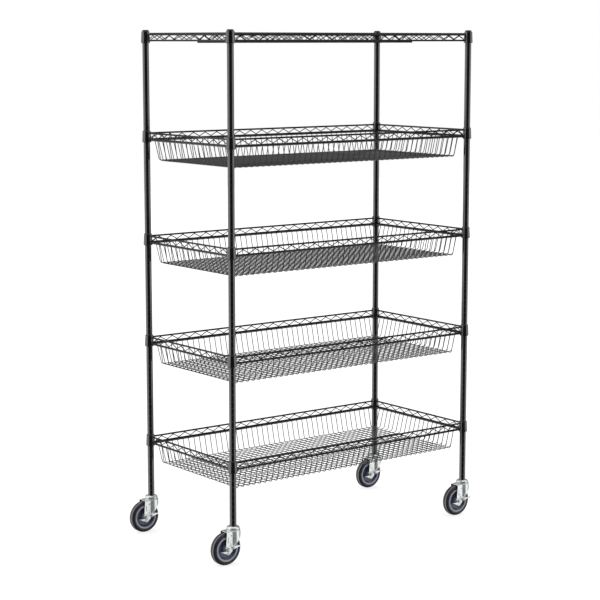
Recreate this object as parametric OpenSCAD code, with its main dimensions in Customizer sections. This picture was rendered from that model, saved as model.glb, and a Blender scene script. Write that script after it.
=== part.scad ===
// Wire shelf cart: four wire baskets under one flat wire shelf, carried by four
// grooved tube posts on braked swivel casters.
// The front long side faces -Y, the length runs along X and +Z points up.
// The origin is on the floor, below the middle of the cart's overall box.

/* [Posts] */
// Distance between post centres along the cart
post_span_x = 1174; // [700:1:1500]
// Distance between post centres across the cart
post_span_y = 575; // [400:1:700]
// Outside diameter of a post tube
post_d = 25.4; // [25.4:0.1:25.6]
// Wall thickness of a post tube
post_wall = 1.6; // [1.2:0.1:2]
// Distance between the height grooves
groove_pitch = 25.4; // [25.4:0.1:50.8]
// Width of a height groove
groove_w = 2.4; // [2:0.1:3]
// Depth of a height groove
groove_depth = 0.4; // [0.3:0.05:0.5]
// How far a post stands above the middle of the flat shelf's collars
post_above_shelf = 25; // [23.5:0.1:60]
// Thickness of the cap that closes a post
cap_h = 3; // [2:0.1:6]

/* [Shelves] */
// Height of the lowest basket's collars above the floor
first_basket_z = 374.7; // [300:0.1:420]
// Distance from one basket to the next
basket_pitch = 406.4; // [254:25.4:457.2]
// Distance from the highest basket to the flat shelf
flat_shelf_gap = 386; // [254:0.1:460]
// Height of a corner collar
collar_h = 43; // [40:0.5:46]
// Outside diameter of a collar at its upper end
collar_top_d = 32; // [31.6:0.1:33]
// Outside diameter of a collar at its lower end
collar_low_d = 36; // [35:0.1:38]
// Diameter of the perimeter rails
rail_d = 6.3; // [5:0.1:6.5]
// Diameter of the zigzag wire between two rails
zigzag_d = 3.6; // [2.5:0.1:4]
// Length of one full zigzag
zigzag_pitch = 56.5; // [45:0.5:70]

/* [Baskets] */
// Depth of the basket floor below the middle of the collars
basket_depth = 94.5; // [70:0.5:120]
// Distance from the post centre lines in to the edge of the basket floor
floor_inset = 31.5; // [28:0.5:40]
// Distance between mesh wires
mesh_pitch = 26.3; // [20:0.1:40]
// Diameter of the mesh wires
mesh_d = 3.2; // [2.4:0.1:3.4]

/* [Flat shelf] */
// Distance between deck wires
deck_pitch = 25; // [20:0.5:40]
// Diameter of the deck wires
deck_d = 3.8; // [3:0.1:4]
// How far the stiffener's lower bar stops short of the post centre lines
stiffener_end = 50; // [30:1:150]

/* [Casters] */
// Wheel diameter
wheel_d = 127; // [100:1:127]
// Width of a tyre
tyre_w = 30; // [28:0.5:32]
// Distance from the swivel axis back to the axle
caster_trail = 36; // [35:0.5:42]
// Outside width of a fork
fork_w = 44; // [43.8:0.1:46]
// Thickness of the fork's sheet metal
fork_sheet = 2.5; // [2:0.1:2.6]
// Radial play of a turning fit
running_gap = 0.05; // [0.02:0.01:0.1]

/* [Hidden] */
CORNERS = [
    ["front_left", [-1, -1]],
    ["front_right", [1, -1]],
    ["rear_left", [-1, 1]],
    ["rear_right", [1, 1]]
];
LEVELS = [0, 1, 2, 3];
CASTER_PARTS = [
    "fork", "axle_bolt", "axle_nut", "axle_sleeve",
    "wheel_bearing", "wheel_core", "tyre", "brake_lever"
];

$fn = 48;
rail_fn = 12;       // sides of a rail
strut_fn = 6;       // sides of a zigzag strut
mesh_fn = 16;       // facets that a preview shows on a mesh wire
touch = 0.1;        // gap left between pieces that rest on each other

// Colours
epoxy = "#141416";
plastic = "#0c0c0d";
zinc = "#c9cfcb";
steel = "#e4e6e8";
core_blue = "#3d4360";
tyre_grey = "#2b2a2e";
nylon = "#d9d8d2";

// Casters
wheel_r = wheel_d / 2;
core_r = 47;            // outside of the wheel core, inside of the tyre
core_w = tyre_w - 1;
recess_r = 39;          // inside of the core's rim
web_half = 5;
hub_r = 15;
hub_half = 17;
sleeve_r = 6.35;        // the tube that the fork clamps round the axle bolt
bolt_r = 4.9;
bearing_r = 9.5;
bearing_flange_r = 11.5;
fork_half = fork_w / 2;
leg_inside = fork_half - fork_sheet;
crown_z = wheel_d + 5;  // top of the fork's crown
crown_rear = -43.5;
front_r = 28;           // the half-round skirt in front of the stem
skirt_z = crown_z - 12; // lower end of the skirt
axle_boss_r = 12.5;
race_h = 3;
race_r = front_r - 1;
ball_r = 2;
ball_circle_r = 17.5;
balls_per_race = 16;
cap_r = 25;
ball_z = crown_z + race_h + ball_r + touch;
cap_skirt_z = crown_z + race_h + 1;
seat_z = ball_z + ball_r + touch + 2.2; // the shoulder that a post stands on
cap_top_z = seat_z + 5.6;
stem_r = 6;
stem_head_r = 10;
stem_head_h = 5;
stem_top_z = seat_z + 44;
socket_h = 30;
head_flats = 15;        // across the flats of the bolt head and the nut
head_h = 5.5;
nut_h = 7;
lever_sheet = 2.2;
lever_y = -fork_half - 0.3;     // inner face of the lever's plate
lever_r = 12;
pedal_run = 33.5;       // how far the pedal stands out from the lever's plate
lever_reach = -lever_y + pedal_run;   // from the axle plane to the tip of the pedal

// Overall layout: the post grid is set off so that the overall box is centred.
grid_x = (caster_trail + wheel_r - front_r) / 2;
grid_y = (lever_reach - front_r) / 2;
half_x = post_span_x / 2;
half_y = post_span_y / 2;
post_r = post_d / 2;
post_bore_r = post_r - post_wall;
flat_shelf_z = first_basket_z + 3 * basket_pitch + flat_shelf_gap;
post_low_z = seat_z + touch;
post_top_z = flat_shelf_z + post_above_shelf;
shelf_heights = concat([for (i = LEVELS) basket_z(i)], [flat_shelf_z]);

// Shelves
collar_wall = 1.65;
sleeve_proud = 1.5;     // how far a split sleeve shows above and below its collar
sleeve_split = 3;       // angle left open between two sleeve halves
rail_gap = 0.3;         // between the end of a rail and its collar
basket_rails = [-10.4, 13.2];           // heights of the rails about the collar's middle
flat_rails = [-12.9, 10.1];
strut_foot = 3.2;       // half the gap between the feet of two zigzag struts
rim_d = 4.8;
rim_inset = 5.4;
rim_z = -15;
edge_d = 4;             // wires that close a mesh panel
side_foot_inset = floor_inset - 5;
side_foot_z = 3;        // height of a side panel's lower bar above the floor wires
deck_z = 15.3;
stiffener_d = 5;
stiffener_low_z = -20.6;

function basket_z(i) = first_basket_z + i * basket_pitch;
function nearest_groove(z) = first_basket_z + round((z - first_basket_z) / groove_pitch) * groove_pitch;
function corner_xy(c) = [grid_x + c[1][0] * half_x, grid_y + c[1][1] * half_y];
function steps(length, pitch) = round(length / pitch);

// Radius of a collar at a height about its middle.
function collar_r(z) = (collar_low_d + collar_top_d) / 4 - z / collar_h * (collar_low_d - collar_top_d) / 2;

// Half the length of a rail that reaches from collar to collar.
function rail_half(span, z) = span / 2 - collar_r(z) - rail_gap;

// Places a piece at every corner of the post grid.
module at_corners() {
    for (c = CORNERS) {
        translate(corner_xy(c)) children();
    }
}

// A bar of a given number of sides between two points in the plane y = 0.
module bar(a, b, d, sides) {
    v = b - a;
    translate([a[0], 0, a[1]]) rotate([0, atan2(v[0], v[1]), 0]) cylinder(h = norm(v), d = d, $fn = sides);
}

// A rail along X, centred on x = 0.
module rail(half, z, d) {
    bar([-half, z], [half, z], d, rail_fn);
}

// A flat panel in the plane z = 0: square bars along X at y = 0 and y = reach, joined by wires along Y.
// The two bars have their own half lengths and widths.
module mesh_panel(bar_halves, bar_widths, reach, wire_half, pitch, wire_d) {
    count = steps(2 * wire_half, pitch);
    for (k = [0, 1]) {
        translate([0, k * reach, 0]) cube([2 * bar_halves[k], bar_widths[k], bar_widths[k]], center = true);
    }
    for (k = [0:count]) {
        translate([-wire_half + k * 2 * wire_half / count, 0, 0]) rotate([-90, 0, 0])
            cylinder(h = reach, d = wire_d, $fn = mesh_fn);
    }
}

// Posts

module post() {
    first = ceil((post_low_z + 2 * groove_w - first_basket_z) / groove_pitch);
    last = floor((post_top_z - 2 * groove_w - first_basket_z) / groove_pitch);
    chamfer = groove_depth;
    outline = concat(
        [[post_bore_r, post_low_z], [post_r, post_low_z]],
        [for (i = [first:last], p = [
            [0, -groove_w / 2],
            [-groove_depth, -groove_w / 2 + chamfer],
            [-groove_depth, groove_w / 2 - chamfer],
            [0, groove_w / 2]
        ]) [post_r + p[0], first_basket_z + i * groove_pitch + p[1]]],
        [[post_r, post_top_z], [post_bore_r, post_top_z]]
    );
    color(epoxy) rotate_extrude() polygon(outline);
}

module post_caps() {
    plug_r = post_bore_r - running_gap;
    color(plastic) at_corners() translate([0, 0, post_top_z])
        rotate_extrude() polygon([
            [0, -14], [plug_r - 1, -14], [plug_r, -12], [plug_r, touch], [post_r, touch],
            [post_r, cap_h * 0.55], [post_r - 1.4, cap_h * 0.85], [post_r - 4, cap_h], [0, cap_h]
        ]);
}

// One half of the tapered plastic sleeve that locks a collar on a post.
module sleeve_half(ridge_z) {
    reach = collar_h / 2 + sleeve_proud;
    top_r = collar_top_d / 2 - collar_wall - touch;
    low_r = collar_low_d / 2 - collar_wall - touch;
    inside = post_r + running_gap;
    ridge = groove_w / 2 - 0.3;
    rotate([0, 0, sleeve_split / 2]) rotate_extrude(angle = 180 - sleeve_split) polygon([
        [inside, -reach], [low_r, -reach], [low_r, -collar_h / 2],
        [top_r, collar_h / 2], [top_r, reach], [inside, reach],
        [inside, ridge_z + ridge], [inside - groove_depth + touch, ridge_z + ridge / 2],
        [inside - groove_depth + touch, ridge_z - ridge / 2], [inside, ridge_z - ridge]
    ]);
}

module split_sleeves() {
    color(plastic) at_corners() for (z = shelf_heights, side = [0, 180]) {
        translate([0, 0, z]) rotate([0, 0, side]) sleeve_half(nearest_groove(z) - z);
    }
}

// Shelves

module collar() {
    top_r = collar_top_d / 2;
    low_r = collar_low_d / 2;
    rotate_extrude() polygon([
        [low_r - collar_wall, -collar_h / 2], [low_r, -collar_h / 2],
        [top_r, collar_h / 2], [top_r - collar_wall, collar_h / 2]
    ]);
}

// Zigzag struts along X, centred on the origin, between two heights.
module zigzag(length, heights) {
    count = steps(length, zigzag_pitch);
    pitch = length / count;
    run = pitch / 2 - 2 * strut_foot;
    for (i = [0:count - 1]) {
        up = -length / 2 + i * pitch + strut_foot;
        down = up + pitch / 2;
        bar([up, heights[0]], [up + run, heights[1]], zigzag_d, strut_fn);
        bar([down, heights[1]], [down + run, heights[0]], zigzag_d, strut_fn);
    }
}

// One side of a shelf frame: two rails along X joined by a zigzag wire.
module truss(span, heights) {
    for (z = heights) {
        rail(rail_half(span, z), z, rail_d);
    }
    zigzag(2 * rail_half(span, heights[0]) - 4 * strut_foot, heights);
}

// Four collars and four sides, about the middle of the collars.
module shelf_frame(heights) {
    at_corners() collar();
    translate([grid_x, grid_y]) for (side = [-1, 1]) {
        translate([0, side * half_y]) truss(post_span_x, heights);
        translate([side * half_x, 0]) rotate([0, 0, 90]) truss(post_span_y, heights);
    }
}

module basket_frame(i) {
    color(epoxy) translate([0, 0, basket_z(i)]) shelf_frame(basket_rails);
}

// A sloping mesh panel along X. The post line is y = 0, and inwards is +Y.
module side_panel(span) {
    foot = [side_foot_inset, side_foot_z - basket_depth];
    slope = [foot[0] - rim_inset, foot[1] - rim_z];
    wire_half = span / 2 - floor_inset - 4 - 2 * mesh_d;
    translate([0, rim_inset, rim_z]) rotate([atan2(slope[1], slope[0]), 0, 0])
        mesh_panel(
            [rail_half(span, rim_z), wire_half + 2 * mesh_d], [rim_d, edge_d],
            norm(slope), wire_half, mesh_pitch, mesh_d
        );
}

module basket_sides(i) {
    color(epoxy) translate([grid_x, grid_y, basket_z(i)]) for (turn = [0, 180]) {
        rotate([0, 0, turn]) translate([0, -half_y]) side_panel(post_span_x);
        rotate([0, 0, turn + 90]) translate([0, -half_x]) side_panel(post_span_y);
    }
}

// A panel centred on the origin, with its wires along Y and a bar along X at each end.
module flat_panel(span_x, span_y, pitch, wire_d, bar_w) {
    translate([0, -span_y / 2, 0])
        mesh_panel([span_x / 2, span_x / 2], [bar_w, bar_w], span_y, span_x / 2 - bar_w, pitch, wire_d);
}

module basket_floor(i) {
    span_x = post_span_x - 2 * floor_inset;
    span_y = post_span_y - 2 * floor_inset;
    corner = 2 * edge_d + 1;    // keeps the bars of the two layers apart
    color(epoxy) translate([grid_x, grid_y, basket_z(i) - basket_depth]) {
        flat_panel(span_x - 2 * corner, span_y, mesh_pitch, mesh_d, edge_d);
        translate([0, 0, mesh_d + touch / 2]) rotate([0, 0, 90])
            flat_panel(span_y - 2 * corner, span_x, mesh_pitch, mesh_d, edge_d);
    }
}

module flat_shelf_frame() {
    color(epoxy) translate([0, 0, flat_shelf_z]) shelf_frame(flat_rails);
}

module flat_shelf_deck() {
    length = 2 * rail_half(post_span_x, deck_z) - 8;
    color(epoxy) translate([grid_x, grid_y, flat_shelf_z + deck_z])
        flat_panel(length, post_span_y - rail_d, deck_pitch, deck_d, deck_d);
}

// The zigzag beam that runs under the middle of the deck.
module flat_shelf_stiffener() {
    top_z = deck_z - (deck_d + stiffener_d) / 2 - touch;
    top_half = half_x - (rail_d / 2 + 0.3);
    low_half = half_x - stiffener_end;
    color(epoxy) translate([grid_x, grid_y, flat_shelf_z]) {
        rail(top_half, top_z, stiffener_d);
        rail(low_half, stiffener_low_z, stiffener_d);
        zigzag(2 * low_half - 4 * strut_foot, [stiffener_low_z, top_z]);
    }
}

// Caster parts fixed to the posts

module stem_sockets() {
    color(steel) at_corners() translate([0, 0, post_low_z]) difference() {
        cylinder(h = socket_h, r = post_bore_r - running_gap);
        translate([0, 0, -1]) cylinder(h = socket_h + 2, r = stem_r + running_gap);
    }
}

module caster_stems() {
    color(zinc) at_corners() {
        translate([0, 0, crown_z - fork_sheet - 0.4 - stem_head_h])
            cylinder(h = stem_head_h, r = stem_head_r);
        translate([0, 0, crown_z - fork_sheet - 0.5])
            cylinder(h = stem_top_z - crown_z + fork_sheet + 0.5, r = stem_r);
    }
}

module raceway_caps() {
    inside = cap_r - 2.2;
    roof_z = ball_z + ball_r + touch;
    color(zinc) at_corners() rotate_extrude() polygon([
        [stem_r + running_gap, roof_z], [inside - 1.6, roof_z], [inside, roof_z - 1.6],
        [inside, cap_skirt_z], [cap_r, cap_skirt_z], [cap_r, seat_z],
        [cap_r - 1.2, seat_z + 2.6], [cap_r - 4, cap_top_z - 1.2], [cap_r - 8, cap_top_z],
        [post_r + 0.4, cap_top_z], [post_r + 0.4, seat_z], [stem_r + running_gap, seat_z]
    ]);
}

module raceway_balls() {
    color(steel) at_corners() for (k = [0:balls_per_race - 1]) {
        rotate([0, 0, k * 360 / balls_per_race]) translate([ball_circle_r, 0, ball_z])
            sphere(r = ball_r, $fn = 24);
    }
}

// Caster parts that turn with the fork

// Outline of the fork seen from above, drawn inwards by an inset: a round front and two flat sides.
module fork_plan(inset, rear) {
    half = fork_half - inset;
    circle(r = front_r - inset);
    translate([rear, -half]) square([-rear, 2 * half]);
}

// Outline of a fork leg seen from the front of the cart: x along the cart, y upwards.
module leg_outline() {
    axle = [-caster_trail, wheel_r];
    toe = [front_r, skirt_z];
    reach = toe - axle;
    tangent = atan2(reach[1], reach[0]) - acos(axle_boss_r / norm(reach));
    polygon([
        [crown_rear, crown_z], [axle[0] - axle_boss_r, axle[1]], axle,
        axle + axle_boss_r * [cos(tangent), sin(tangent)], toe, [front_r, crown_z]
    ]);
    translate(axle) circle(r = axle_boss_r);
}

// A cylinder along Y through the axle.
module on_axle(r, y0, y1) {
    translate([-caster_trail, y1, wheel_r]) rotate([90, 0, 0]) cylinder(h = y1 - y0, r = r);
}

module fork() {
    small_hole = [-23.3, crown_z - 16];
    slot = [-38.6, crown_z - 44];
    slot_size = [2, 22];
    color(zinc) difference() {
        union() {
            intersection() {
                linear_extrude(height = crown_z) difference() {
                    fork_plan(0, crown_rear - axle_boss_r);
                    fork_plan(fork_sheet, crown_rear - axle_boss_r - 1);
                }
                rotate([90, 0, 0]) linear_extrude(height = 2 * fork_w, center = true) leg_outline();
            }
            translate([0, 0, crown_z - fork_sheet]) linear_extrude(height = fork_sheet)
                fork_plan(0, crown_rear);
            translate([0, 0, crown_z - 0.5]) cylinder(h = race_h + 0.5, r = race_r);
        }
        translate([0, 0, crown_z - 10]) cylinder(h = 20, r = stem_r + running_gap);
        on_axle(bolt_r + running_gap, -fork_w, fork_w);
        translate([small_hole[0], 0, small_hole[1]]) rotate([90, 0, 0]) cylinder(h = fork_w, r = 2.5);
        translate([slot[0], -fork_w, slot[1]]) cube([slot_size[0], fork_w, slot_size[1]]);
    }
}

module axle_bolt() {
    color(steel) {
        on_axle(bolt_r, lever_y - lever_sheet - nut_h - 2, fork_half + touch + 1);
        translate([-caster_trail, fork_half + touch + head_h, wheel_r]) rotate([90, 0, 0])
            cylinder(h = head_h, r = head_flats / 2 / cos(30), $fn = 6);
    }
}

module axle_nut() {
    color(steel) translate([-caster_trail, lever_y - lever_sheet - 0.3, wheel_r]) rotate([90, 0, 0])
        difference() {
            cylinder(h = nut_h, r = head_flats / 2 / cos(30), $fn = 6);
            translate([0, 0, -1]) cylinder(h = nut_h + 2, r = bolt_r + running_gap);
        }
}

module axle_sleeve() {
    color(zinc) difference() {
        on_axle(sleeve_r, touch - leg_inside, leg_inside - touch);
        on_axle(bolt_r + running_gap, -fork_w, fork_w);
    }
}

// Wheel parts, turned about the axle

// A profile of [distance along the axle, radius] points, turned about the axle.
module turned(profile) {
    translate([-caster_trail, 0, wheel_r]) rotate([90, 0, 0])
        rotate_extrude() polygon([for (p = profile) [p[1], p[0]]]);
}

// A half profile that goes out along +, closed by its mirror image along -.
function mirrored(half) = concat(half, [for (i = [len(half) - 1:-1:0]) [-half[i][0], half[i][1]]]);

module wheel_bearing() {
    flange = hub_half + touch;
    color(nylon) turned(mirrored([
        [leg_inside - 0.9, sleeve_r + running_gap], [leg_inside - 0.9, bearing_flange_r],
        [flange, bearing_flange_r], [flange, bearing_r]
    ]));
}

module wheel_core() {
    rim_half = core_w / 2;
    color(core_blue) turned(mirrored([
        [hub_half, bearing_r + running_gap], [hub_half, hub_r - 1], [hub_half - 1, hub_r],
        [web_half + 1.5, hub_r + 1], [web_half, hub_r + 3], [web_half, recess_r - 3],
        [web_half + 1.5, recess_r - 1], [rim_half - 1, recess_r], [rim_half, recess_r + 1],
        [rim_half, core_r - 1], [rim_half - 1, core_r]
    ]));
}

module tyre() {
    half = tyre_w / 2;
    shoulder = 10.5;
    color(tyre_grey) turned(mirrored(concat(
        [[core_w / 2 - 1, core_r + running_gap], [half, core_r + 1.5]],
        [for (a = [0:15:90]) [half - shoulder + shoulder * cos(a), wheel_r - shoulder + shoulder * sin(a)]]
    )));
}

// Stamped lever: a plate round the axle, a tab bent in over the wheel's recess, a pedal bent outwards.
module brake_lever() {
    plate = [
        [-40.5, -3.2], [-24, -10.5], [-9, -17.3], [-0.7, -22], [16.3, -5], [16.3, 8],
        [13, 11], [-6, 11.5], [-16.5, 10.5], [-18.5, 7], [-15.5, 4.6], [-11, 3],
        [-11, -3.5], [-13, -4.6], [-25, -5.2], [-39.5, -1.4]
    ];
    pedal_foot = [15, -3];
    pedal_lean = 62;
    pedal_l = (pedal_run - lever_sheet * (1 + cos(pedal_lean)) / 2) / sin(pedal_lean);
    pedal = [
        [0, 0], [9, 3.2], [20, 11.6], [pedal_l - 1, 19.2], [pedal_l, 20.3], [pedal_l, 23.2],
        [pedal_l - 2, 24.2], [24, 20.6], [9, 16.6], [3, 13.5], [0, 11]
    ];
    color(zinc) translate([-caster_trail, lever_y, wheel_r]) difference() {
        union() {
            rotate([90, 0, 0]) linear_extrude(height = lever_sheet) {
                circle(r = lever_r);
                polygon(plate);
            }
            translate([pedal_foot[0], -lever_sheet / 2, pedal_foot[1]]) rotate([0, 0, -pedal_lean])
                rotate([90, 0, 0]) linear_extrude(height = lever_sheet, center = true) polygon(pedal);
        }
        rotate([90, 0, 0]) translate([0, 0, -1]) cylinder(h = lever_sheet + 2, r = bolt_r + running_gap);
    }
}

module caster_part(name) {
    if (name == "fork") fork();
    if (name == "axle_bolt") axle_bolt();
    if (name == "axle_nut") axle_nut();
    if (name == "axle_sleeve") axle_sleeve();
    if (name == "wheel_bearing") wheel_bearing();
    if (name == "wheel_core") wheel_core();
    if (name == "tyre") tyre();
    if (name == "brake_lever") brake_lever();
}

for (c = CORNERS) {
    translate(corner_xy(c)) post();
}
post_caps();
split_sleeves();
stem_sockets();
caster_stems();
raceway_caps();
raceway_balls();
flat_shelf_frame();
flat_shelf_deck();
flat_shelf_stiffener();
for (i = LEVELS) {
    basket_frame(i);
    basket_sides(i);
    basket_floor(i);
}
for (part = CASTER_PARTS, c = CORNERS) {
    translate(corner_xy(c)) caster_part(part);
}
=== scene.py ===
"""The looks of the wire shelf cart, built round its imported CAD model.

Every length is in metres, in the frame of the CAD model: +X along the cart, +Z up.
Shapes are collected as closed shells in Shape objects and then become one mesh piece each.
"""
import math

import bmesh
import bpy
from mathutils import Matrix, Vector


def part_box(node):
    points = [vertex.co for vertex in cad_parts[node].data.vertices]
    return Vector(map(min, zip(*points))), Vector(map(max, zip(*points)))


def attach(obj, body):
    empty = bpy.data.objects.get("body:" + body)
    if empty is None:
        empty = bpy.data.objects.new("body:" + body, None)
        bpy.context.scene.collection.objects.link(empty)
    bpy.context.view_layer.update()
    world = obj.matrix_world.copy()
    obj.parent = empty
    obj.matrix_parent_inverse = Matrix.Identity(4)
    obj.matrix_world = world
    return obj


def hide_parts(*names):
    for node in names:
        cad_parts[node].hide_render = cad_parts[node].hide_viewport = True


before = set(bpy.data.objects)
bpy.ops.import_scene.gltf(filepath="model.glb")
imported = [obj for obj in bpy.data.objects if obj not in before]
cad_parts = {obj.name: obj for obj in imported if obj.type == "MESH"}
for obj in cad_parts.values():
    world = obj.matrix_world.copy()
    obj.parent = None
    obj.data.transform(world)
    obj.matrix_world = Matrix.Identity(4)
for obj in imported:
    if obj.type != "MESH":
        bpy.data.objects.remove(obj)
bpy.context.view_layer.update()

MM = 0.001
TINY = 1e-6
ALONG_X, ALONG_Y, UP = Vector((1, 0, 0)), Vector((0, 1, 0)), Vector((0, 0, 1))
CORNERS = ["front_left", "front_right", "rear_left", "rear_right"]
LEVELS = [1, 2, 3, 4]


def middle(node):
    """The middle of a CAD node's box."""
    low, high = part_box(node)
    return (low + high) / 2


POST_XY = {c: middle(f"post_{c}").to_2d() for c in CORNERS}
AXLE = {c: middle(f"tyre_{c}") for c in CORNERS}
GRID_X = (POST_XY["front_left"].x + POST_XY["front_right"].x) / 2
GRID_Y = (POST_XY["front_left"].y + POST_XY["rear_left"].y) / 2
SPAN_X = POST_XY["front_right"].x - POST_XY["front_left"].x
SPAN_Y = POST_XY["rear_left"].y - POST_XY["front_left"].y
BASKET_Z = {i: middle(f"basket_{i}_frame").z for i in LEVELS}
FLAT_Z = middle("flat_shelf_frame").z

# ---------------------------------------------------------------- sizes

# These are the CAD model's sizes. Where the looks need another, a comment gives CAD's, in mm.
# The heights of a shelf's parts are about the middle of its collars.

POST_R = 12.7 * MM
COLLAR_H = 43 * MM
COLLAR_TOP_R = 16 * MM
COLLAR_LOW_R = 18 * MM
COLLAR_WALL = 1.65 * MM

RAIL_R = 3.5 * MM                       # CAD 3.15
ZIGZAG_R = 1.8 * MM
ZIGZAG_PITCH = 56.5 * MM
ZIGZAG_BEND_R = 4.2 * MM                # not in CAD, which has straight struts
BASKET_RAILS = (-10.4 * MM, 13.2 * MM)
FLAT_RAILS = (-12.9 * MM, 10.1 * MM)

RIM_R = 2.6 * MM                        # CAD 2.4
RIM_INSET = 5.4 * MM
RIM_Z = -15 * MM
MESH_R = 1.55 * MM                      # CAD 1.6
MESH_PITCH = 26.3 * MM
MESH_BEND_R = 12 * MM                   # not in CAD, which has flat panels
FLOOR_Z = -94.5 * MM
FLOOR_INSET = 31.5 * MM                 # from the post lines to the edges of the floor
OUTER_WIRE_INSET = 13 * MM              # from there to the floor's outermost wires
LAYER_GAP = 3.1 * MM                    # CAD 3.25

DECK_R = 1.9 * MM
DECK_PITCH = 25 * MM
DECK_Z = 15.1 * MM                      # CAD 15.3
BEAM_R = 2.9 * MM                       # CAD 2.5
BEAM_LOW_Z = -19.2 * MM                 # CAD -20.6
BEAM_TOP_Z = 10.8 * MM
BEAM_END = 50 * MM

WHEEL_R = 63.5 * MM
TYRE_HALF = 15 * MM
CORE_HALF = 14.5 * MM
RIM_EDGE_R = 48.4 * MM                  # CAD 47
TRAIL = 36 * MM

CROWN_Z = 132 * MM
CROWN_REAR = -43.5 * MM
FRONT_R = 28 * MM
LEG_Y = 22 * MM
SHEET = 2.5 * MM
BOSS_R = 12.5 * MM
TOE = Vector((28 * MM, 120 * MM))       # the lowest point of the fork's front, x and z
RACE_H = 3 * MM

CAP_R = 25 * MM
CAP_SKIRT_Z = 136 * MM
SEAT_Z = 141.4 * MM
CAP_TOP_Z = 147 * MM

LEVER_Y = -22.3 * MM
LEVER_SHEET = 2.2 * MM
PEDAL_RUN = 33.5 * MM
HEAD_FLATS = 15 * MM

SMOOTH_DEGREES = 38                     # edges sharper than this stay sharp


# ---------------------------------------------------------------- mesh tools

class Shape:
    """Vertices and faces of closed shells."""

    def __init__(self):
        self.verts, self.faces = [], []

    def grid(self, rings, loop=False):
        """Skins a list of rings of points. loop joins the last ring to the first."""
        n, base = len(rings[0]), len(self.verts)
        for ring in rings:
            self.verts += [tuple(p) for p in ring]
        for i in range(len(rings) if loop else len(rings) - 1):
            a, b = base + i * n, base + (i + 1) % len(rings) * n
            for k in range(n):
                m = (k + 1) % n
                self.faces.append((a + k, a + m, b + m, b + k))
        if not loop:
            last = base + (len(rings) - 1) * n
            self.faces.append(tuple(base + k for k in reversed(range(n))))
            self.faces.append(tuple(last + k for k in range(n)))

    def tube(self, path, radius, sides):
        """A round wire along a path of points. radius is a number or one for each point."""
        steep, sharpest = 0.9, 0.5
        path = [Vector(p) for p in path]
        radii = radius if isinstance(radius, list) else [radius] * len(path)
        steps = [(b - a).normalized() for a, b in zip(path, path[1:])]
        level = abs(steps[0].z) < steep
        side, rings = steps[0].cross(UP if level else ALONG_X).normalized(), []
        for i, p in enumerate(path):
            before, after = steps[max(i - 1, 0)], steps[min(i, len(steps) - 1)]
            along = (before + after).normalized()
            side = (side - along * side.dot(along)).normalized()
            other = along.cross(side)
            wide = 1 / max(before.dot(along), sharpest)
            turn = after - before
            bend = turn.normalized() if turn.length > TINY else None
            ring = []
            for k in range(sides):
                a = 2 * math.pi * k / sides
                v = (side * math.cos(a) + other * math.sin(a)) * radii[i]
                if bend is not None:
                    v += bend * v.dot(bend) * (wide - 1)
                ring.append(p + v)
            rings.append(ring)
        self.grid(rings)

    def lathe(self, profile, axis, sides):
        """Turns a closed profile of (radius, height) points round the Z or the Y axis."""
        rings = []
        for k in range(sides):
            a = 2 * math.pi * k / sides
            c, s = math.cos(a), math.sin(a)
            if axis == "Z":
                rings.append([(r * c, r * s, h) for r, h in profile])
            else:
                rings.append([(r * s, h, r * c) for r, h in profile])
        self.grid(rings, loop=True)

    def turned(self, profile, sides):
        """A solid round the Y axis, from (radius, y) points, with flat ends."""
        angles = [2 * math.pi * k / sides for k in range(sides)]
        self.grid([[(r * math.sin(a), y, r * math.cos(a)) for a in angles] for r, y in profile])

    def moved(self, offset):
        """A copy of this shape, moved."""
        copy = Shape()
        copy.verts = [tuple(Vector(v) + Vector(offset)) for v in self.verts]
        copy.faces = list(self.faces)
        return copy

    def add(self, other):
        """Adds another shape's shells to this one."""
        base = len(self.verts)
        self.verts += other.verts
        self.faces += [tuple(base + k for k in f) for f in other.faces]


def rounded(points, radius, steps=5, closed=False):
    """A path with its corners rounded by arcs of a radius, or one radius for each corner."""
    longest_cut = 0.49      # of the stretch beside a corner
    points = [Vector(p) for p in points]
    n, path = len(points), []
    radii = radius if isinstance(radius, (list, tuple)) else [radius] * n
    for i, p in enumerate(points):
        if not closed and i in (0, n - 1):
            path.append(p)
            continue
        a, b = points[i - 1] - p, points[(i + 1) % n] - p
        r, half = radii[i], a.angle(b) / 2
        cut = r / math.tan(half)
        if r <= 0 or cut < TINY / 10:
            path.append(p)
            continue
        cut = min(cut, a.length * longest_cut, b.length * longest_cut)
        r = cut * math.tan(half)
        start, end = p + a.normalized() * cut, p + b.normalized() * cut
        middle_line = (a.normalized() + b.normalized()).normalized()
        centre = p + middle_line * (r / math.sin(half))
        u, v = (start - centre).normalized(), (end - centre).normalized()
        sweep = math.pi - 2 * half
        s = math.sin(sweep)
        for k in range(steps + 1):
            t = k / steps
            if s < TINY:
                path.append(start.lerp(end, t))
                continue
            q = (u * math.sin((1 - t) * sweep) + v * math.sin(t * sweep)) / s
            path.append(centre + q * r)
    return path


def mesh_object(name, shape):
    """An object with the shape's mesh, all its faces pointing outwards."""
    mesh = bpy.data.meshes.new(name)
    mesh.from_pydata(shape.verts, [], shape.faces)
    bm = bmesh.new()
    bm.from_mesh(mesh)
    bmesh.ops.recalc_face_normals(bm, faces=bm.faces)
    bm.to_mesh(mesh)
    bm.free()
    obj = bpy.data.objects.new(name, mesh)
    bpy.context.scene.collection.objects.link(obj)
    return obj


def drill(obj, cutter_shape):
    """Cuts a shape out of an object's mesh."""
    cutter = mesh_object("cutter", cutter_shape)
    modifier = obj.modifiers.new("holes", "BOOLEAN")
    modifier.operation, modifier.solver, modifier.object = "DIFFERENCE", "EXACT", cutter
    bpy.context.view_layer.update()
    graph = bpy.context.evaluated_depsgraph_get()
    obj.data = bpy.data.meshes.new_from_object(obj.evaluated_get(graph))
    obj.modifiers.clear()
    bpy.data.objects.remove(cutter)


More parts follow.
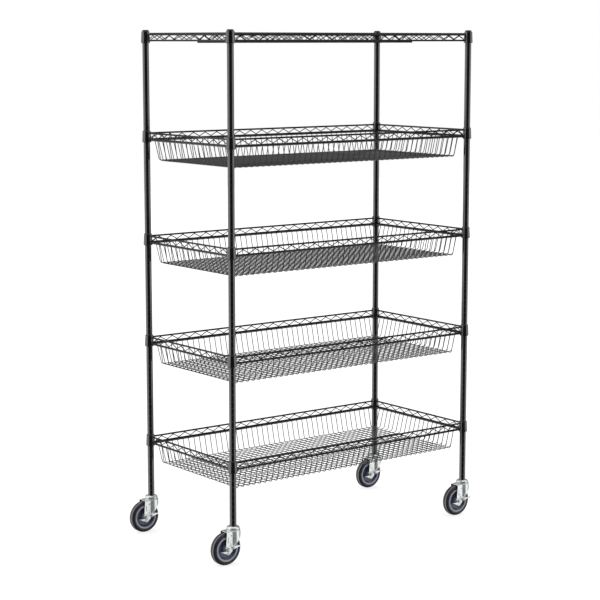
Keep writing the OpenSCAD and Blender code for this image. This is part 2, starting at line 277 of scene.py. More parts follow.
def piece(name, shape, body, material, replaced=(), origin=(0, 0, 0), cut=None):
    """Makes a mesh piece at an origin, which rides on a body and stands for CAD nodes."""
    obj = mesh_object(name, shape)
    if cut:
        drill(obj, cut)
    obj.location = origin
    mesh = obj.data
    mesh.shade_smooth()
    mesh.set_sharp_from_angle(angle=math.radians(SMOOTH_DEGREES))
    mesh.materials.clear()
    mesh.materials.append(MATERIALS[material])
    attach(obj, body)
    if replaced:
        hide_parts(*replaced)


# ---------------------------------------------------------------- materials

class Nodes:
    """Short ways to add shader nodes to a material."""

    def __init__(self, name):
        self.material = bpy.data.materials.new(name)
        self.material.use_nodes = True
        self.tree = self.material.node_tree
        self.shader = self.tree.nodes["Principled BSDF"]
        self.coordinates = self.new("ShaderNodeTexCoord").outputs["Object"]

    def new(self, kind, inputs=None, **settings):
        """A node of a kind. Its inputs are numbers, colours or sockets to link."""
        node = self.tree.nodes.new(kind)
        for key, value in settings.items():
            setattr(node, key, value)
        for key, value in (inputs or {}).items():
            if isinstance(value, bpy.types.NodeSocket):
                self.tree.links.new(value, node.inputs[key])
            else:
                node.inputs[key].default_value = value
        return node

    def axes(self):
        """The three object coordinates of the shaded point."""
        return self.new("ShaderNodeSeparateXYZ", {"Vector": self.coordinates}).outputs

    def math(self, operation, a, b=None):
        """One step of arithmetic on one or two values."""
        inputs = {0: a} if b is None else {0: a, 1: b}
        return self.new("ShaderNodeMath", inputs, operation=operation).outputs[0]

    def noise(self, scale, detail=3.0, roughness=0.55, stretch=None):
        """Noise between 0 and 1. stretch scales the three coordinates first."""
        where = self.coordinates
        if stretch:
            where = self.new("ShaderNodeMapping", {"Vector": where, "Scale": stretch}).outputs[0]
        return self.new(
            "ShaderNodeTexNoise",
            {"Vector": where, "Scale": scale, "Detail": detail, "Roughness": roughness},
        ).outputs["Fac"]

    def spread(self, factor, low, high, start=0.3, end=0.7):
        """Maps a factor from start..end to low..high."""
        return self.new(
            "ShaderNodeMapRange",
            {"Value": factor, "From Min": start, "From Max": end, "To Min": low, "To Max": high},
        ).outputs["Result"]

    def blend(self, factor, a, b):
        """Mixes two colours: a where the factor is 0, b where it is 1."""
        node = self.new("ShaderNodeMix", {"Factor": factor}, data_type="RGBA")
        for socket, value in ((node.inputs[6], a), (node.inputs[7], b)):
            if isinstance(value, bpy.types.NodeSocket):
                self.tree.links.new(value, socket)
            else:
                socket.default_value = (*value, 1)
        return node.outputs[2]

    def bump(self, height, distance, strength, normal=None):
        """A bumped normal, on top of another one if that is given."""
        inputs = {"Height": height, "Distance": distance, "Strength": strength}
        if normal is not None:
            inputs["Normal"] = normal
        return self.new("ShaderNodeBump", inputs).outputs["Normal"]

    def finish(self, colour, roughness, normal=None, **plain):
        """Feeds the shader. The plain values are the same all over the surface."""
        self.tree.links.new(colour, self.shader.inputs["Base Color"])
        self.tree.links.new(roughness, self.shader.inputs["Roughness"])
        if normal is not None:
            self.tree.links.new(normal, self.shader.inputs["Normal"])
        for key, value in plain.items():
            socket = key.replace("_", " ").title().replace("Ior", "IOR")
            self.shader.inputs[socket].default_value = value
        return self.material


def epoxy_material(name, peel_scale, ior, roughest, smoothest):
    """Black epoxy powder coat: fine orange peel, faint dust and patches of scuffed coat."""
    clean, dusty = (0.0025, 0.0025, 0.0028), (0.0065, 0.0065, 0.007)
    n = Nodes(name)
    dust = n.spread(n.noise(9.0, detail=5.0), 0.0, 1.0, start=0.42, end=0.72)
    colour = n.blend(dust, clean, dusty)
    roughness = n.spread(n.noise(38.0, detail=4.0), smoothest, roughest)
    peel = n.bump(n.noise(peel_scale, detail=2.0), distance=0.10 * MM, strength=0.25)
    return n.finish(colour, roughness, peel, metallic=0.0, ior=ior)


def plastic_material():
    """Moulded black plastic with a fine grain."""
    dark, pale = (0.008, 0.008, 0.009), (0.018, 0.018, 0.020)
    n = Nodes("black_plastic")
    mottled = n.spread(n.noise(60.0, detail=4.0), 0.0, 1.0)
    colour = n.blend(mottled, dark, pale)
    roughness = n.spread(n.noise(120.0), 0.30, 0.45)
    grain = n.bump(n.noise(2600.0, detail=2.0), distance=0.05 * MM, strength=0.5)
    return n.finish(colour, roughness, grain, metallic=0.0, ior=1.48)


def zinc_material(name, light, dark, smoothest, roughest, shade=None):
    """Bright zinc plate: cloudy passivation, fine spangle and light press marks, and painted shade
    where a mask is given.
    """
    spangle, painted_shade = (0.50, 0.55, 0.53), (0.012, 0.013, 0.014)
    n = Nodes(name)
    cloud = n.spread(n.noise(70.0, detail=5.0, roughness=0.6), 0.0, 1.0, start=0.34, end=0.66)
    fleck = n.spread(n.noise(600.0), 0.0, 0.22, start=0.45, end=0.72)
    colour = n.blend(fleck, n.blend(cloud, light, dark), spangle)
    if shade:
        # Painted shade: where the mask is 1, the zinc is darkened to near black.
        colour = n.blend(shade(n), colour, painted_shade)
    roughness = n.spread(n.noise(160.0, detail=4.0), smoothest, roughest)
    marks = n.noise(300.0, detail=2.0, stretch=(1.0, 1.0, 0.06))
    dents = n.bump(n.noise(45.0, detail=1.0), distance=0.10 * MM, strength=0.12)
    normal = n.bump(marks, distance=0.03 * MM, strength=0.15, normal=dents)
    return n.finish(colour, roughness, normal, metallic=0.72, ior=1.5)


def fork_inside_shade(n):
    """1 on the inner faces of the fork's legs, where the plate gets painted shade, 0 outside."""
    x, y, z = n.axes()
    between = n.spread(n.math("ABSOLUTE", y), 1.0, 0.0, start=19.9 * MM, end=20.6 * MM)
    behind = n.spread(x, 1.0, 0.0, start=-14 * MM, end=-8 * MM)
    below = n.spread(z, 1.0, 0.0, start=129.8 * MM, end=130.6 * MM)
    return n.math("MULTIPLY", n.math("MULTIPLY", between, behind), below)


def core_material():
    """Moulded slate blue wheel plastic, with painted highlight that makes the rim and hub pale and
    painted shade that makes the recess dark.
    """
    # Painted shade: the recess colours are darker than the moulded blue.
    shaded_recess_dark, shaded_recess_pale = (0.020, 0.024, 0.060), (0.036, 0.042, 0.092)
    # Painted highlight: the rim and hub colours are paler than the moulded blue.
    painted_lit_dark, painted_lit_pale = (0.28, 0.295, 0.39), (0.35, 0.365, 0.46)
    dust = (0.12, 0.12, 0.15)
    n = Nodes("wheel_core_blue")
    x, _, z = n.axes()
    radius = n.math("SQRT", n.math("ADD", n.math("MULTIPLY", x, x), n.math("MULTIPLY", z, z)))
    flow = n.spread(n.noise(40.0, detail=4.0), 0.0, 1.0)
    recess = n.blend(flow, shaded_recess_dark, shaded_recess_pale)
    painted_lit = n.blend(flow, painted_lit_dark, painted_lit_pale)
    # Painted highlight on the rim and the hub, painted shade in the recess between them, by
    # distance from the axle.
    rim = n.spread(radius, 0.0, 1.0, start=40.6 * MM, end=42.4 * MM)
    hub = n.spread(radius, 0.55, 0.0, start=15.2 * MM, end=17.5 * MM)
    colour = n.blend(n.math("MAXIMUM", rim, hub), recess, painted_lit)
    dusty = n.spread(n.noise(140.0, detail=5.0), 0.0, 0.25, start=0.5, end=0.8)
    colour = n.blend(dusty, colour, dust)
    roughness = n.spread(n.noise(90.0), 0.20, 0.34)
    normal = n.bump(n.noise(1500.0, detail=2.0), distance=0.06 * MM, strength=0.4)
    return n.finish(colour, roughness, normal, metallic=0.0, ior=1.6)


def tyre_material():
    """Charcoal rubber with fine grain and scuffs, and a painted reflection: a pale band along each
    shoulder.
    """
    clean, scuffed, painted_reflection = (0.013, 0.012, 0.014), (0.026, 0.024, 0.027), (0.24, 0.235, 0.25)
    # How far off the middle of the tread the painted reflection runs.
    reflection_band_y = 6.8 * MM
    n = Nodes("tyre_rubber")
    _, y, _ = n.axes()
    scuff = n.spread(n.noise(70.0, detail=5.0, roughness=0.65), 0.0, 1.0, start=0.45, end=0.75)
    dark = n.blend(scuff, clean, scuffed)
    wander = n.math("MULTIPLY", n.math("SUBTRACT", n.noise(30.0), 0.5), 2.0 * MM)
    off_centre = n.math("ABSOLUTE", n.math("ADD", y, wander))
    off_band = n.math("ABSOLUTE", n.math("SUBTRACT", off_centre, reflection_band_y))
    # Painted reflection: a pale band near each shoulder, its edge wandering with noise.
    colour = n.blend(n.spread(off_band, 0.9, 0.0, start=0.8 * MM, end=3.0 * MM), dark, painted_reflection)
    roughness = n.spread(n.noise(110.0, detail=4.0), 0.30, 0.46)
    normal = n.bump(n.noise(1800.0), distance=0.10 * MM, strength=0.4)
    return n.finish(colour, roughness, normal, metallic=0.0, ior=1.45)


def nylon_material():
    """Pale moulded nylon with a faint mottle."""
    dark, pale = (0.62, 0.61, 0.57), (0.74, 0.73, 0.69)
    n = Nodes("bearing_nylon")
    colour = n.blend(n.spread(n.noise(200.0), 0.0, 1.0), dark, pale)
    roughness = n.spread(n.noise(300.0), 0.35, 0.5)
    normal = n.bump(n.noise(2500.0), distance=0.04 * MM, strength=0.4)
    return n.finish(colour, roughness, normal, metallic=0.0)


ZINC_LIGHT, ZINC_DARK = (0.80, 0.825, 0.82), (0.70, 0.735, 0.725)
DOME_LIGHT, DOME_DARK = (0.78, 0.80, 0.80), (0.68, 0.72, 0.72)
STEEL_LIGHT, STEEL_DARK = (0.74, 0.75, 0.76), (0.62, 0.64, 0.65)
MATERIALS = {
    "post": epoxy_material("post_epoxy", 900.0, ior=2.0, smoothest=0.07, roughest=0.16),
    "rail": epoxy_material("rail_epoxy", 1600.0, ior=1.32, smoothest=0.18, roughest=0.30),
    "wire": epoxy_material("wire_epoxy", 1600.0, ior=1.85, smoothest=0.14, roughest=0.26),
    "plastic": plastic_material(),
    # The fork's zinc has painted shade on the inner faces of its legs.
    "fork": zinc_material("pressed_zinc", ZINC_LIGHT, ZINC_DARK, 0.18, 0.28, fork_inside_shade),
    "zinc": zinc_material("plain_zinc", ZINC_LIGHT, ZINC_DARK, 0.18, 0.28),
    "dome": zinc_material("raceway_zinc", DOME_LIGHT, DOME_DARK, 0.10, 0.20),
    "steel": zinc_material("bright_steel", STEEL_LIGHT, STEEL_DARK, 0.16, 0.28),
    "core": core_material(),
    "tyre": tyre_material(),
    "nylon": nylon_material(),
}


# ---------------------------------------------------------------- shelves

def collar_radius(z):
    """The outer radius of a collar at a height about its middle."""
    return (COLLAR_LOW_R + COLLAR_TOP_R) / 2 - z / COLLAR_H * (COLLAR_LOW_R - COLLAR_TOP_R)


def turned_ring(corners, radii, steps, sides):
    """A ring round the Z axis, from a closed outline of (radius, height) corners, rounded."""
    outline = rounded([(r, 0, h) for r, h in corners], radii, steps, closed=True)
    shape = Shape()
    shape.lathe([(p.x, p.z) for p in outline], "Z", sides)
    return shape


def collar_shape():
    """A tapered collar with rounded edges, about its own middle."""
    h, edge = COLLAR_H / 2, 0.6 * MM
    corners = [
        (COLLAR_LOW_R - COLLAR_WALL, -h), (COLLAR_LOW_R, -h),
        (COLLAR_TOP_R, h), (COLLAR_TOP_R - COLLAR_WALL, h),
    ]
    return turned_ring(corners, edge, 3, 56)


def sides_of_shelf():
    """For each side: the point at its middle, its direction, its inward direction and its span."""
    for sign in (-1, 1):
        long_side = Vector((GRID_X, GRID_Y + sign * SPAN_Y / 2, 0))
        short_side = Vector((GRID_X + sign * SPAN_X / 2, GRID_Y, 0))
        yield long_side, ALONG_X, -sign * ALONG_Y, SPAN_X
        yield short_side, ALONG_Y, -sign * ALONG_X, SPAN_Y


def welded_rod(shape, centre, along, half, radius, sides):
    """A straight rod that swells into a weld at both ends."""
    weld, bead = 3.2 * MM, 0.9 * MM
    swell = ((0, 1), (0.35, 0.75), (0.7, 0.25), (1, 0))
    stations = [(-half + weld * t, bead * share) for t, share in swell]
    stations += [(-s, b) for s, b in reversed(stations)]
    shape.tube([centre + along * s for s, _ in stations], [radius + b for _, b in stations], sides)


def tapered_rod(shape, centre, along, half, radius, taper, end_share, sides):
    """A straight rod that narrows to a share of its radius in a short taper at both ends."""
    stations = [-half, -half + taper, half - taper, half]
    radii = [radius * end_share, radius, radius, radius * end_share]
    shape.tube([centre + along * s for s in stations], radii, sides)


def zigzag_wire(shape, centre, along, length, low_z, top_z):
    """One bent wire that runs up and down between two rails."""
    count = round(length / ZIGZAG_PITCH)
    pitch = length / count
    points = []
    for i in range(2 * count + 1):
        z = top_z if i % 2 else low_z
        points.append(centre + along * (-length / 2 + i * pitch / 2) + UP * z)
    shape.tube(rounded(points, ZIGZAG_BEND_R, 5), ZIGZAG_R, 8)


def collars_shape(level_z):
    """The four collars of one shelf."""
    shape, collar = Shape(), collar_shape()
    for c in CORNERS:
        shape.add(collar.moved((*POST_XY[c], level_z)))
    return shape


def rails_shape(level_z, rails):
    """The rails of one shelf and the zigzag wires between them."""
    rail_bite, strut_bite, zigzag_gaps = 0.7 * MM, 0.9 * MM, 14 * MM
    shape = Shape()
    for centre, along, _, span in sides_of_shelf():
        centre = centre + UP * level_z
        for z in rails:
            half = span / 2 - collar_radius(z) + rail_bite
            welded_rod(shape, centre + UP * z, along, half, RAIL_R, 16)
        reach = RAIL_R + ZIGZAG_R - strut_bite
        length = 2 * (span / 2 - collar_radius(rails[0])) - zigzag_gaps
        zigzag_wire(shape, centre, along, length, rails[0] + reach, rails[1] - reach)
    return shape


def spaced(half, pitch):
    """Positions from -half to half, about a pitch apart."""
    count = round(2 * half / pitch)
    return [-half + k * 2 * half / count for k in range(count + 1)]


def basket_shape(level_z):
    """The rim rods and the wires that run down one side, across the floor and up the other."""
    rod_bite, wire_bite, wire_rise, foot_spread = 0.7 * MM, 0.5 * MM, 2.2 * MM, 2.4 * MM
    shape = Shape()
    for centre, along, inward, span in sides_of_shelf():
        half = span / 2 - collar_radius(RIM_Z) + rod_bite
        rim = centre + inward * RIM_INSET + UP * (level_z + RIM_Z)
        welded_rod(shape, rim, along, half, RIM_R, 14)
    top_inset = RIM_INSET + RIM_R + MESH_R - wire_bite
    foot_inset = FLOOR_INSET - foot_spread
    layers = (
        (ALONG_X, ALONG_Y, SPAN_X, SPAN_Y, FLOOR_Z),
        (ALONG_Y, ALONG_X, SPAN_Y, SPAN_X, FLOOR_Z + LAYER_GAP),
    )
    for across, along, width, length, floor_z in layers:
        top, foot = length / 2 - top_inset, length / 2 - foot_inset
        for s in spaced(width / 2 - FLOOR_INSET - OUTER_WIRE_INSET, MESH_PITCH):
            base = Vector((GRID_X, GRID_Y, level_z)) + across * s
            points = [
                base - along * top + UP * (RIM_Z + wire_rise), base - along * foot + UP * floor_z,
                base + along * foot + UP * floor_z, base + along * top + UP * (RIM_Z + wire_rise),
            ]
            shape.tube(rounded(points, MESH_BEND_R, 7), MESH_R, 8)
    return shape


def deck_shape():
    """The round wires of the flat shelf, from long rail to long rail."""
    end_gap, overhang, taper = 5.9 * MM, 1.2 * MM, 0.9 * MM
    shape = Shape()
    for s in spaced(SPAN_X / 2 - collar_radius(DECK_Z) - end_gap, DECK_PITCH):
        centre = Vector((GRID_X + s, GRID_Y, FLAT_Z + DECK_Z))
        tapered_rod(shape, centre, ALONG_Y, SPAN_Y / 2 + overhang, DECK_R, taper, 0.62, 12)
    return shape


def beam_shape():
    """The zigzag beam under the middle of the deck."""
    rail_bite, strut_bite, taper, zigzag_gaps = 0.4 * MM, 0.9 * MM, 1.0 * MM, 12 * MM
    shape = Shape()
    centre = Vector((GRID_X, GRID_Y, FLAT_Z))
    top_half, low_half = SPAN_X / 2 - RAIL_R + rail_bite, SPAN_X / 2 - BEAM_END
    welded_rod(shape, centre + UP * BEAM_TOP_Z, ALONG_X, top_half, BEAM_R, 14)
    tapered_rod(shape, centre + UP * BEAM_LOW_Z, ALONG_X, low_half, BEAM_R, taper, 0.6, 14)
    reach, length = BEAM_R + ZIGZAG_R - strut_bite, 2 * low_half - zigzag_gaps
    zigzag_wire(shape, centre, ALONG_X, length, BEAM_LOW_Z + reach, BEAM_TOP_Z - reach)
    return shape


def shelf_piece(name, shape, material, replaced=()):
    """A piece of the cart itself, with the black epoxy coat."""
    piece(name, shape, "cart", material, replaced)


for i in LEVELS:
    basket, level = f"basket_{i}", BASKET_Z[i]
    shelf_piece(f"{basket}_rails", rails_shape(level, BASKET_RAILS), "rail", [f"{basket}_frame"])
    shelf_piece(f"{basket}_collars", collars_shape(level), "post")
    panels = [f"{basket}_sides", f"{basket}_floor"]
    shelf_piece(f"{basket}_bent_wires", basket_shape(level), "wire", panels)
shelf_piece("flat_shelf_rails", rails_shape(FLAT_Z, FLAT_RAILS), "rail", ["flat_shelf_frame"])
shelf_piece("flat_shelf_collars", collars_shape(FLAT_Z), "post")
shelf_piece("flat_shelf_deck_wires", deck_shape(), "rail", ["flat_shelf_deck"])
shelf_piece("flat_shelf_beam", beam_shape(), "rail", ["flat_shelf_stiffener"])


# ---------------------------------------------------------------- forks and domes

def fork_shape():
    """The pressed sheet fork about the swivel axis: crown, two flat legs, half-round front."""
    leg_steps, front_steps, boss_steps, rows = 16, 14, 24, 6
    bend_r, bend_steps = 3.6 * MM, 5

    # The lower edge follows the boss round the axle, then a straight line from tip to TOE.
    axle = Vector((-TRAIL, WHEEL_R))
    reach = TOE - axle
    tangent = math.atan2(reach.y, reach.x) - math.acos(BOSS_R / reach.length)
    tip = axle + BOSS_R * Vector((math.cos(tangent), math.sin(tangent)))
    slope = (TOE.y - tip.y) / (TOE.x - tip.x)

    def edge_z(x):
        """Height of the fork's lower front edge at x."""
        return tip.y + slope * (x - tip.x)

    def plan(i, inset):
        """Point i of the outline from above, from the rear of one leg to the front's middle."""
        half, front = LEG_Y - inset, FRONT_R - inset
        crease_x = -math.sqrt(front ** 2 - half ** 2)
        if i <= leg_steps:
            t = i / leg_steps
            return Vector((CROWN_REAR + (crease_x - CROWN_REAR) * t, -half))
        t = (i - leg_steps) / front_steps
        a = math.atan2(-half, crease_x) * (1 - t)
        return Vector((front * math.cos(a), front * math.sin(a)))

    def bottom(i, inset):
        """Lower edge of the wall below point i of the outline."""
        p = plan(i, inset)
        if i > leg_steps:
            return Vector((p.x, p.y, edge_z(p.x)))
        crease_x = plan(leg_steps, inset).x
        angles = [math.pi + (math.pi + tangent) * k / boss_steps for k in range(boss_steps + 1)]
        edge = [axle + BOSS_R * Vector((math.cos(a), math.sin(a))) for a in angles]
        edge.append(Vector((crease_x, edge_z(crease_x))))
        lengths = [0.0]
        for a, b in zip(edge, edge[1:]):
            lengths.append(lengths[-1] + (b - a).length)
        target = lengths[-1] * i / leg_steps
        for k in range(len(edge) - 1):
            if target <= lengths[k + 1] + TINY * TINY:
                t = (target - lengths[k]) / (lengths[k + 1] - lengths[k])
                q = edge[k].lerp(edge[k + 1], t)
                return Vector((q.x, p.y, q.y))

    def column(i, inset, crown, radius):
        """Points from the crown, round the bend and down the wall."""
        points = []
        for k in range(bend_steps + 1):
            a = math.pi / 2 * (1 - k / bend_steps)
            p = plan(i, inset + radius * (1 - math.cos(a)))
            points.append(Vector((p.x, p.y, crown - radius * (1 - math.sin(a)))))
        low, top = bottom(i, inset), points[-1]
        points += [top.lerp(low, (k + 1) / rows) for k in range(rows)]
        return points

    # Each column is a loop: down the outside, and up the inside.
    count = leg_steps + front_steps
    last = 2 * count
    shape = Shape()
    for i in range(last + 1):
        j, flip = (i, 1) if i <= count else (last - i, -1)
        outer = column(j, 0.0, CROWN_Z, bend_r)
        inner = column(j, SHEET, CROWN_Z - SHEET, bend_r - SHEET)
        n = len(outer) + len(inner)
        shape.verts += [(p.x, p.y * flip, p.z) for p in outer + inner[::-1]]
    for i in range(last):
        for k in range(n - 1):
            a, b = i * n + k, (i + 1) * n + k
            shape.faces.append((a, b, b + 1, a + 1))
    # The crown's two faces, from leg to leg.
    for i in range(count):
        for k in (0, n - 1):
            near, far = (i * n + k, (i + 1) * n + k), ((last - i - 1) * n + k, (last - i) * n + k)
            shape.faces.append((*near, *far) if i + 1 < count else (*near, far[1]))
    # The rear edges of the legs, and of the crown.
    for i in (0, last):
        for k in range(n // 2 - 1):
            a, b = i * n + k, i * n + n - 1 - k
            shape.faces.append((a, a + 1, b - 1, b))
    shape.faces.append((0, n - 1, last * n + n - 1, last * n))
    return shape


def fork_cutter():
    """A round hole and a narrow slot in the leg on the lever's side, and the stem's hole."""
    hole_x, hole_z, hole_r, stem_hole_r = -23.3 * MM, 116 * MM, 2.5 * MM, 6.1 * MM
    slot_rear, slot_front, slot_low, slot_top = -38.7 * MM, -36.7 * MM, 88 * MM, 110 * MM
    slot_corner_r = 0.95 * MM
    y0, y1 = -LEG_Y - 3 * MM, -LEG_Y + SHEET + 2 * MM
    half_h = 8 * MM
    cutter = Shape()
    cutter.tube([(hole_x, y0, hole_z), (hole_x, y1, hole_z)], hole_r, 24)
    slot = rounded(
        [
            (slot_rear, 0, slot_low), (slot_front, 0, slot_low),
            (slot_front, 0, slot_top), (slot_rear, 0, slot_top),
        ],
        slot_corner_r, closed=True,
    )
    cutter.grid([[(p.x, y, p.z) for p in slot] for y in (y0, y1)])
    cutter.tube([(0, 0, CROWN_Z - half_h), (0, 0, CROWN_Z + half_h)], stem_hole_r, 32)
    return cutter


def race_shape():
    """The raised ball race on top of the fork's crown."""
    bore, low, top = 6.4 * MM, CROWN_Z - 1 * MM, CROWN_Z + RACE_H
    groove = top - 1.2 * MM
    corners = [
        (bore, low), (26 * MM, low), (27 * MM, CROWN_Z + 0.6 * MM),
        (26.4 * MM, top), (22 * MM, top), (20.5 * MM, groove),
        (14.5 * MM, groove), (13 * MM, top), (bore, top),
    ]
    radii = [r * MM for r in (0, 0, 0.5, 0.9, 0.5, 0.6, 0.6, 0.5, 0.3)]
    return turned_ring(corners, radii, 3, 72)


def dome_shape():
    """The smooth cap over the ball race, which the post stands in."""
    bore, ceiling, inner = 6.2 * MM, 139.4 * MM, CAP_R - 2.0 * MM
    socket = POST_R + 0.35 * MM
    corners = [
        (bore, ceiling), (inner - 1.6 * MM, ceiling), (inner, ceiling - 1.6 * MM),
        (inner, CAP_SKIRT_Z), (CAP_R, CAP_SKIRT_Z), (CAP_R, SEAT_Z + 1.2 * MM),
        (19.5 * MM, CAP_TOP_Z - 0.4 * MM), (POST_R + 2.2 * MM, CAP_TOP_Z),
        (socket, CAP_TOP_Z - 0.5 * MM), (socket, SEAT_Z), (bore, SEAT_Z),
    ]
    radii = [r * MM for r in (0, 0.6, 0.6, 0, 0.7, 4.2, 4.5, 1.2, 0.4, 0, 0)]
    return turned_ring(corners, radii, 6, 80)


# ---------------------------------------------------------------- wheels

def turned_wheel(half):
    """A shape round the axle, from half of its profile, given as (height, radius) points."""
    shape = Shape()
    profile = [(r, h) for h, r in half] + [(r, -h) for h, r in reversed(half)]
    shape.lathe(profile, "Y", 96)
    return shape


def tyre_shape():
    """The tyre: round shoulders, and a fine parting line round the middle of its tread."""
    shoulder, inner, steps = 10.5 * MM, RIM_EDGE_R + 0.05 * MM, 12
    points = [
        (CORE_HALF - 1 * MM, inner), (TYRE_HALF - 0.6 * MM, inner + 0.35 * MM),
        (TYRE_HALF, inner + 1.2 * MM),
    ]
    for k in range(steps + 1):
        a = math.pi / 2 * k / steps
        y, r = shoulder * math.cos(a), shoulder * math.sin(a)
        points.append((TYRE_HALF - shoulder + y, WHEEL_R - shoulder + r))
    points += [(0.5 * MM, WHEEL_R), (0.25 * MM, WHEEL_R - 0.12 * MM)]
    return turned_wheel(points)


def core_shape():
    """The wheel's core: rim flange, sloping recess, thin web and hub."""
    hub_half, hub_r, bore, web_half = 17 * MM, 15 * MM, 9.55 * MM, 5.2 * MM
    groove = CORE_HALF - 0.9 * MM
    corners = [     # height, radius, and the radius of its rounding in mm
        (hub_half, bore, 0), (hub_half, hub_r - 0.6 * MM, 0.5), (16.2 * MM, hub_r, 0.5),
        (7.5 * MM, hub_r + 1.2 * MM, 1.5), (web_half, 19 * MM, 2.0), (web_half, 34 * MM, 2.2),
        (12.4 * MM, 41.0 * MM, 1.0), (CORE_HALF, 42.0 * MM, 0.7), (CORE_HALF, 43.2 * MM, 0.5),
        (groove, 43.8 * MM, 0.5), (groove, 46.2 * MM, 0.5), (CORE_HALF, 46.8 * MM, 0.5),
        (CORE_HALF, RIM_EDGE_R - 0.4 * MM, 0.4), (CORE_HALF - 1.0 * MM, RIM_EDGE_R, 0),
    ]
    path = rounded([(r, 0, h) for h, r, _ in corners], [e * MM for _, _, e in corners], 4)
    return turned_wheel([(p.z, p.x) for p in path])


# ---------------------------------------------------------------- levers, bolts and nuts

def plate(outline, y0, y1, edge):
    """A flat plate between two y values from an outline of (x, z) points, its edges eased."""
    flat = [Vector((x, z)) for x, z in outline]
    n = len(flat)
    turn = sum(flat[i].x * flat[(i + 1) % n].y - flat[(i + 1) % n].x * flat[i].y for i in range(n))
    sign = 1 if turn > 0 else -1
    ease, sharpest = edge * 0.3, 0.6

    def inset(amount):
        """The outline moved inwards."""
        result = []
        for i, p in enumerate(flat):
            a, b = (p - flat[i - 1]).normalized(), (flat[(i + 1) % n] - p).normalized()
            both = Vector((-a.y, a.x)) * sign + Vector((-b.y, b.x)) * sign
            both = both / max(both.length_squared / 2, sharpest)
            result.append(p + both * amount)
        return result

    stations = [(y0, edge), (y0 + ease, ease), (y0 + edge, 0)]
    stations += [(y1 - edge, 0), (y1 - ease, ease), (y1, edge)]
    shape = Shape()
    shape.grid([[(p.x, y, p.y) for p in inset(amount)] for y, amount in stations])
    return shape


def sheet_strip(path, thickness):
    """A bent strip of sheet with eased edges.

    Each station of the path is a point, the normal, the width's direction and the two edges.
    """
    flank, ease = 0.45, thickness * 0.28
    rings = []
    for point, normal, wide, low, high in path:
        t, step = normal * thickness / 2, wide * ease
        a, b = point + wide * low, point + wide * high
        rings.append([
            a + t + step, b + t - step, b + t * flank, b - t * flank,
            b - t - step, a - t + step, a - t * flank, a + t * flank,
        ])
    shape = Shape()
    shape.grid(rings)
    return shape


def lever_shape():
    """The stamped brake lever about the axle: an eye with an arm, and a pedal bent outwards."""
    corners = (     # x, z, and the radius of its rounding, in mm
        (-40.5, -2.4, 0.8), (-24, -10.5, 12), (-9, -17.3, 12), (-0.7, -22, 3.5),
        (15.9, -5.4, 4), (15.9, 8.2, 2), (12.8, 11.1, 2), (-5, 11.6, 6), (-17.6, 11, 2.6),
        (-18.2, 5.2, 1.6), (-12.2, 3.4, 3), (-11.6, -4.2, 3), (-25, -5.4, 12),
    )
    outer_y = LEVER_Y - LEVER_SHEET
    path = rounded(
        [(x * MM, 0, z * MM) for x, z, _ in corners], [r * MM for _, _, r in corners], closed=True,
    )
    shape = plate([(p.x, p.z) for p in path], outer_y, LEVER_Y, 0.35 * MM)

    # The pedal leans out from the plate's front edge, and rises as it narrows to its tip.
    lean, bend_r, bend_steps = math.radians(62), 2.6 * MM, 6
    root_height, height_gain, foot_rise = 11, 0.35, 0.15
    root, stations = Vector((14.2 * MM, (outer_y + LEVER_Y) / 2, -3 * MM)), []
    for k in range(bend_steps + 1):
        a = lean * k / bend_steps
        point = root + Vector((bend_r * math.sin(a), -bend_r * (1 - math.cos(a)), 0))
        normal = Vector((math.sin(a), math.cos(a), 0))
        low, high = foot_rise * MM * k, (root_height + height_gain * k) * MM
        stations.append((point, normal, UP, low, high))
    base = stations[-1][0]
    along = Vector((math.cos(lean), -math.sin(lean), 0))
    normal = Vector((math.sin(lean), math.cos(lean), 0))
    tip_y = LEVER_Y - PEDAL_RUN
    run = (base.y - tip_y - LEVER_SHEET / 2 * math.cos(lean)) / math.sin(lean)
    edges = (       # the share of the run, and the pedal's lower and upper edge in mm
        (0.08, 2.0, 15.0), (0.22, 3.9, 16.6), (0.42, 8.6, 18.4), (0.62, 13.4, 20.6),
        (0.80, 16.6, 22.8), (0.92, 18.7, 23.8), (0.97, 19.6, 23.8), (1.0, 20.6, 22.9),
    )
    for t, low, high in edges:
        stations.append((base + along * run * t, normal, UP, low * MM, high * MM))
    shape.add(sheet_strip(stations, LEVER_SHEET))
    return shape


def hexagon_prism(y0, y1, turn):
    """A hexagonal head or nut between two y values, with chamfered corners."""
    sixth, sides, chamfer = math.pi / 3, 48, 0.75 * MM
    half_flats = HEAD_FLATS / 2
    corner_r, end_r = half_flats / math.cos(sixth / 2), half_flats - 0.2 * MM
    rings = []
    for y, cap in ((y0, end_r), (y0 + chamfer, corner_r), (y1 - chamfer, corner_r), (y1, end_r)):
        ring = []
        for k in range(sides):
            a = 2 * math.pi * k / sides + turn
            from_flat = (a - turn + sixth / 2) % sixth - sixth / 2
            r = min(half_flats / math.cos(from_flat), cap)
            ring.append((r * math.cos(a), y, r * math.sin(a)))
        rings.append(ring)
    shape = Shape()
    shape.grid(rings)
    return shape


def bolt_shape():
    """The axle bolt: a head with a washer face on one side, a grooved end on the other."""
    washer_r, washer_low, head_low, head_top = 8.2 * MM, 0.1 * MM, 0.9 * MM, 5.6 * MM
    start, end, thread_end = -33.4 * MM, LEG_Y + 1 * MM, -24.5 * MM
    radius, pitch, depth = 4.9 * MM, 1.25 * MM, 0.35 * MM
    shape = hexagon_prism(LEG_Y + head_low, LEG_Y + head_top, 0.2)
    shape.turned([(washer_r, LEG_Y + washer_low), (washer_r, end)], 40)
    path = [(radius - 0.8 * MM, start), (radius - 0.1 * MM, start + 0.7 * MM)]
    y = start + 0.9 * MM
    while y < thread_end:
        path += [(radius, y), (radius - depth, y + pitch / 2)]
        y += pitch
    path += [(radius, y), (radius, end)]
    shape.turned(path, 36)
    return shape


def nut_shape():
    """The nut outside the lever."""
    return hexagon_prism(-31.6 * MM, -24.9 * MM, 0.35)


